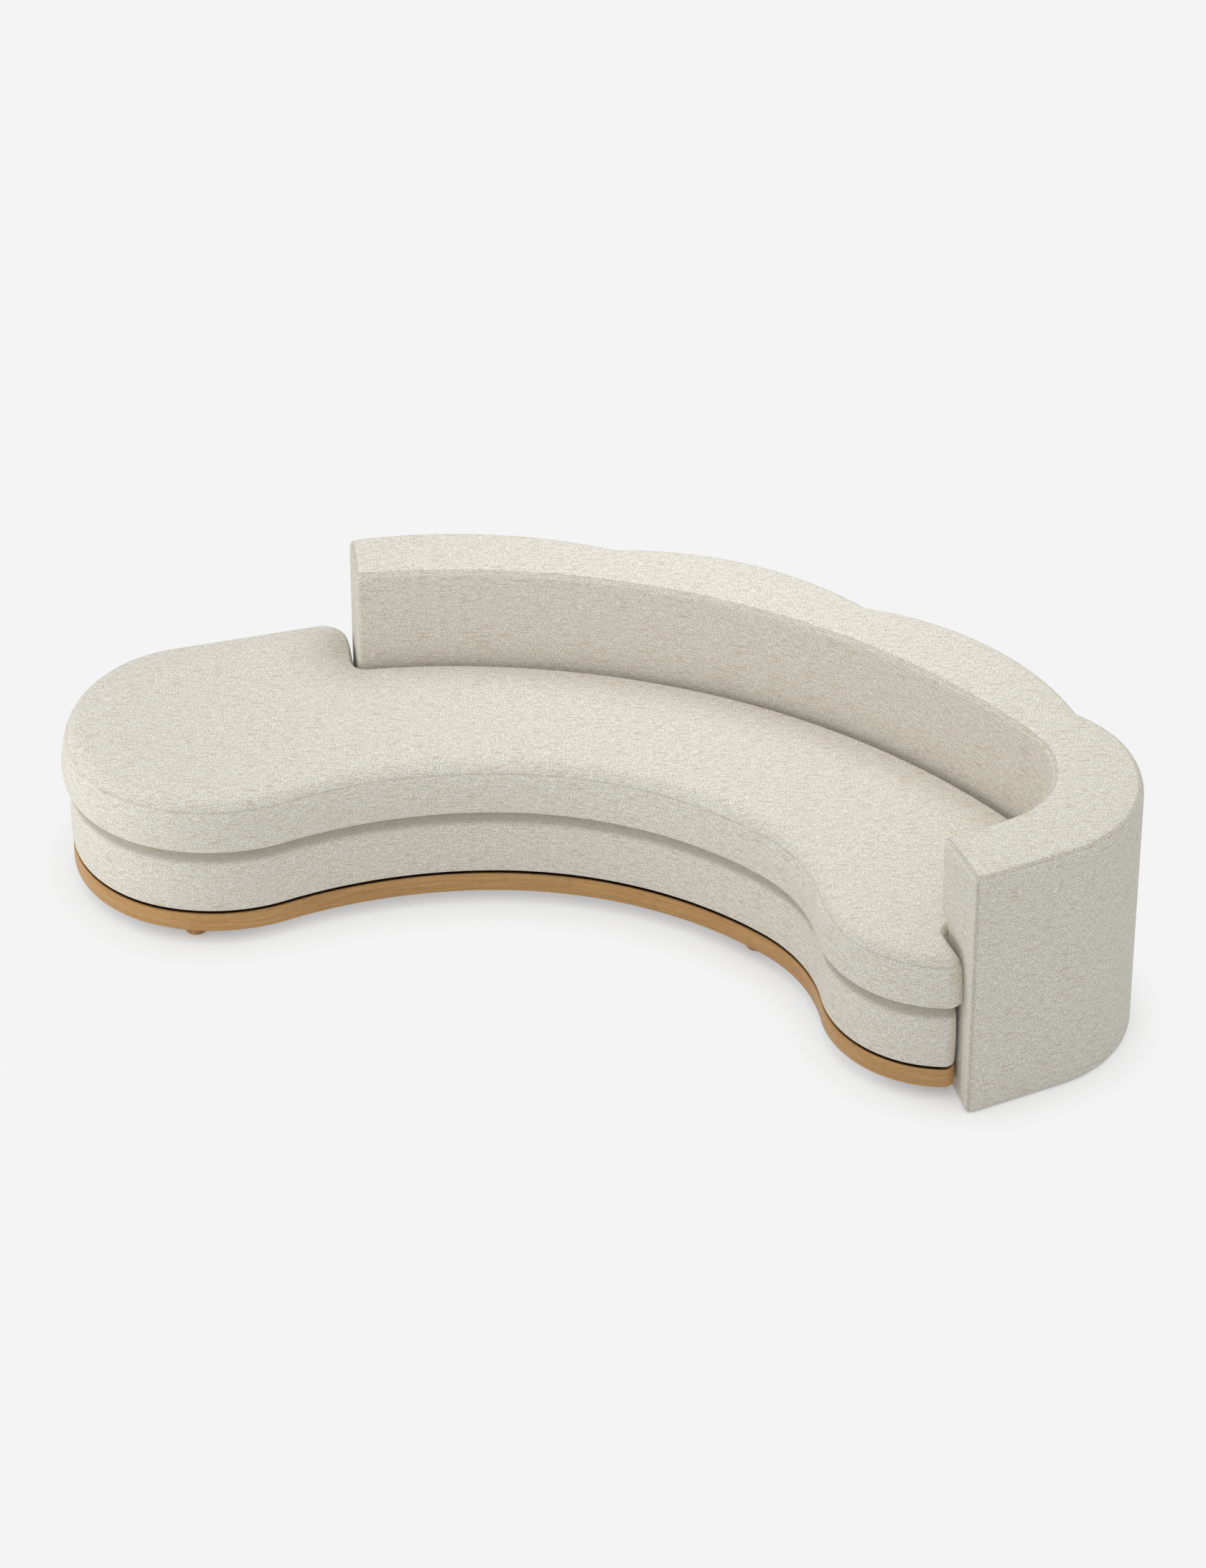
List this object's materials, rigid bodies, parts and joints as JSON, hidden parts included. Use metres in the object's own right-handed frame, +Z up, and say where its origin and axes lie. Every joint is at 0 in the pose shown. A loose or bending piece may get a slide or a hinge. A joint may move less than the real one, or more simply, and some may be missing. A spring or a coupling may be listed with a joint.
{
  "type": "chaise longue",
  "caption": "Curved upholstered chaise longue: kidney-shaped loose seat cushion on a padded base, scalloped back that wraps round into an arm, oak plinth and turned feet.",
  "frame": {"origin": "middle of the plan's box, on the floor", "axes": "+X along the chaise from the open lounge end towards the arm, +Y from the front bay towards the back, +Z up"},
  "size_m": [2.6816, 1.0596, 0.714],
  "materials": {
    "linen": "matte",
    "oak": "satin",
    "plywood": "matte",
    "dark_board": "matte",
    "foam": "matte",
    "deck_felt": "matte",
    "webbing": "matte",
    "nylon": "satin"
  },
  "bodies": {
    "frame": {"arm_end_pad": "foam", "back_bottom_board": "plywood", "back_glides": "nylon", "back_inner_foam": "foam", "back_inner_wall": "plywood", "back_lobe_1": "foam", "back_lobe_2": "foam", "back_lobe_3": "foam", "back_lobe_4": "foam", "back_outer_wall": "plywood", "back_post_1": "plywood", "back_post_2": "plywood", "back_post_3": "plywood", "back_post_4": "plywood", "back_post_5": "plywood", "back_top_board": "plywood", "back_top_cover": "linen", "back_top_pad": "foam", "base_cover": "linen", "cross_webbing": "webbing", "feet": "oak", "foot_blocks": "plywood", "inside_back_cover": "linen", "joint_rail": "plywood", "long_webbing": "webbing", "open_end_pad": "foam", "outside_back_panel_1": "linen", "outside_back_panel_2": "linen", "outside_back_panel_3": "linen", "outside_back_panel_4": "linen", "plinth_ring": "oak", "seat_bottom_board": "dark_board", "seat_deck_pad": "deck_felt", "seat_rib_1": "plywood", "seat_rib_2": "plywood", "seat_rib_3": "plywood", "seat_rib_4": "plywood", "seat_rib_5": "plywood", "seat_top_frame": "plywood"},
    "seat_cushion": {"cushion_border": "linen", "cushion_bottom_panel": "linen", "cushion_core": "foam", "cushion_top_panel": "linen"}
  },
  "joints": [
    {"name": "cushion_lift", "type": "slide", "parent": "frame", "child": "seat_cushion", "axis": [0, 0, 1], "range_m": [0, 0.45]}
  ]
}
